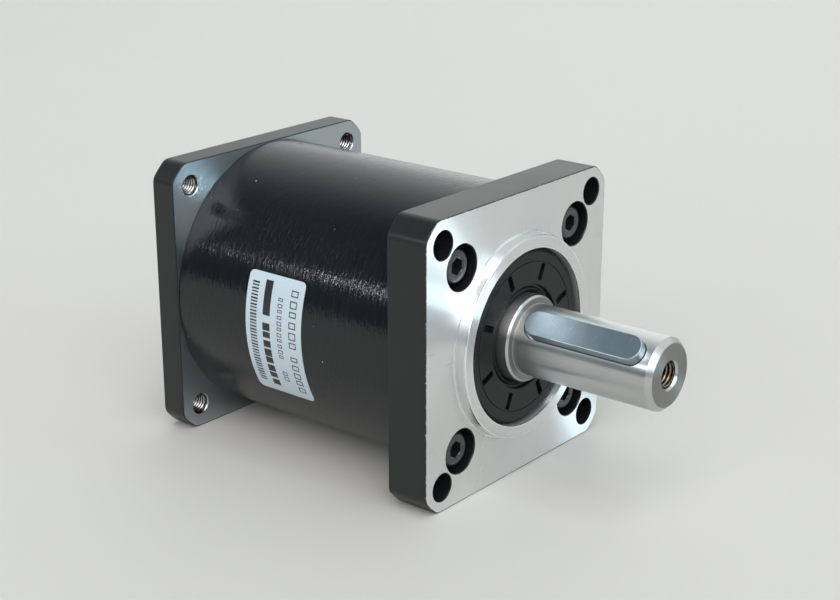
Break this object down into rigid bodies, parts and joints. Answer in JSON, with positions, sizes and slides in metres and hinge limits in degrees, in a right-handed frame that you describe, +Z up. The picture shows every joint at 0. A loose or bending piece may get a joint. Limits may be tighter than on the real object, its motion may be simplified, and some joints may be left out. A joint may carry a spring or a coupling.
{
  "type": "planetary gearbox",
  "caption": "Inline planetary gear reducer with square front and rear flanges, round black barrel, keyed output shaft with lip seal, and a clamp hub for a motor shaft at the back.",
  "frame": {"origin": "centre of the front flange's mounting face, on the output shaft's axis", "axes": "+X out along the output shaft, +Z up while the gearbox lies on the flats of its two flanges, +Y to the left seen from behind the motor side"},
  "size_m": [0.1037, 0.057, 0.057],
  "materials": {
    "flange_aluminium": "machined front face, black anodised sides",
    "rear_flange_black": "black anodised aluminium, bare turned corners",
    "barrel_black": "gloss black paint on steel",
    "black_screw": "black oxide, lightly oiled",
    "seal_rubber": "moulded nitrile rubber",
    "spring_steel": "blued spring steel",
    "bearing_steel": "ground and polished steel",
    "gear_steel": "hobbed steel, oiled",
    "collar_steel": "dark phosphated steel",
    "shaft_steel": "fine turned and ground steel",
    "key_steel": "drawn key steel",
    "inner_aluminium": "turned aluminium",
    "bronze": "sintered bronze and pressed brass",
    "label_film": "printed polyester film"
  },
  "bodies": {
    "housing": {"front_flange": "flange_aluminium", "flange_screws": "black_screw", "ring_gear_barrel": "barrel_black", "rear_flange": "rear_flange_black", "rear_screws": "black_screw", "shaft_seal": "seal_rubber", "seal_spring": "spring_steel", "front_o_ring": "seal_rubber", "bearing_circlip": "spring_steel", "front_bearing_outer": "bearing_steel", "rear_bearing_outer": "bearing_steel", "input_bearing_outer": "bearing_steel", "input_bearing_plate": "inner_aluminium", "plate_circlip": "spring_steel", "wear_plate": "spring_steel", "access_plug": "seal_rubber", "rating_label": "label_film"},
    "output": {"output_shaft": "shaft_steel", "shaft_key": "key_steel", "shaft_circlip": "spring_steel", "bearing_spacer": "bearing_steel", "front_bearing_inner": "bearing_steel", "rear_bearing_inner": "bearing_steel", "planet_pins_2": "bearing_steel", "planet_washers_2": "bronze"},
    "front_cage": {"front_bearing_balls": "bearing_steel", "front_bearing_cage": "bronze"},
    "rear_cage": {"rear_bearing_balls": "bearing_steel", "rear_bearing_cage": "bronze"},
    "input_cage": {"input_bearing_balls": "bearing_steel", "input_bearing_cage": "bronze"},
    "carrier_1": {"carrier_plate_1": "gear_steel", "sun_gear_2": "gear_steel", "planet_pins_1": "bearing_steel", "planet_washers_1": "bronze"},
    "input": {"input_hub": "gear_steel", "clamp_collar": "collar_steel", "clamp_screw": "black_screw", "hub_circlip": "spring_steel", "input_bearing_inner": "bearing_steel"},
    "planet_2a": {"planet_gear_2a": "gear_steel", "planet_needles_2a": "bearing_steel"},
    "planet_2b": {"planet_gear_2b": "gear_steel", "planet_needles_2b": "bearing_steel"},
    "planet_2c": {"planet_gear_2c": "gear_steel", "planet_needles_2c": "bearing_steel"},
    "planet_1a": {"planet_gear_1a": "gear_steel", "planet_bush_1a": "bronze"},
    "planet_1b": {"planet_gear_1b": "gear_steel", "planet_bush_1b": "bronze"},
    "planet_1c": {"planet_gear_1c": "gear_steel", "planet_bush_1c": "bronze"}
  },
  "joints": [
    {"name": "output_spin", "type": "hinge", "parent": "housing", "child": "output", "pos_m": [0, 0, 0], "axis": [1, 0, 0], "continuous": true},
    {"name": "carrier_1_spin", "type": "hinge", "parent": "housing", "child": "carrier_1", "pos_m": [-0.04, 0, 0], "axis": [1, 0, 0], "continuous": true},
    {"name": "input_spin", "type": "hinge", "parent": "housing", "child": "input", "pos_m": [-0.06, 0, 0], "axis": [1, 0, 0], "continuous": true},
    {"name": "front_cage_spin", "type": "hinge", "parent": "housing", "child": "front_cage", "pos_m": [-0.012, 0, 0], "axis": [1, 0, 0], "continuous": true},
    {"name": "rear_cage_spin", "type": "hinge", "parent": "housing", "child": "rear_cage", "pos_m": [-0.0215, 0, 0], "axis": [1, 0, 0], "continuous": true},
    {"name": "input_cage_spin", "type": "hinge", "parent": "housing", "child": "input_cage", "pos_m": [-0.0515, 0, 0], "axis": [1, 0, 0], "continuous": true},
    {"name": "planet_2a_spin", "type": "hinge", "parent": "output", "child": "planet_2a", "pos_m": [-0.034, 0, 0.012], "axis": [1, 0, 0], "continuous": true},
    {"name": "planet_2b_spin", "type": "hinge", "parent": "output", "child": "planet_2b", "pos_m": [-0.034, -0.01039, -0.006], "axis": [1, 0, 0], "continuous": true},
    {"name": "planet_2c_spin", "type": "hinge", "parent": "output", "child": "planet_2c", "pos_m": [-0.034, 0.01039, -0.006], "axis": [1, 0, 0], "continuous": true},
    {"name": "planet_1a_spin", "type": "hinge", "parent": "carrier_1", "child": "planet_1a", "pos_m": [-0.044, 0, 0.012], "axis": [1, 0, 0], "continuous": true},
    {"name": "planet_1b_spin", "type": "hinge", "parent": "carrier_1", "child": "planet_1b", "pos_m": [-0.044, -0.01039, -0.006], "axis": [1, 0, 0], "continuous": true},
    {"name": "planet_1c_spin", "type": "hinge", "parent": "carrier_1", "child": "planet_1c", "pos_m": [-0.044, 0.01039, -0.006], "axis": [1, 0, 0], "continuous": true}
  ],
  "couplings": [
    {"joint": "carrier_1_spin", "follows": "output_spin", "ratio": 10},
    {"joint": "input_spin", "follows": "output_spin", "ratio": 100},
    {"joint": "front_cage_spin", "follows": "output_spin", "ratio": 0.40846},
    {"joint": "rear_cage_spin", "follows": "output_spin", "ratio": 0.43245},
    {"joint": "input_cage_spin", "follows": "output_spin", "ratio": 43.897},
    {"joint": "planet_2a_spin", "follows": "output_spin", "ratio": -2.25},
    {"joint": "planet_2b_spin", "follows": "output_spin", "ratio": -2.25},
    {"joint": "planet_2c_spin", "follows": "output_spin", "ratio": -2.25},
    {"joint": "planet_1a_spin", "follows": "output_spin", "ratio": -22.5},
    {"joint": "planet_1b_spin", "follows": "output_spin", "ratio": -22.5},
    {"joint": "planet_1c_spin", "follows": "output_spin", "ratio": -22.5}
  ]
}
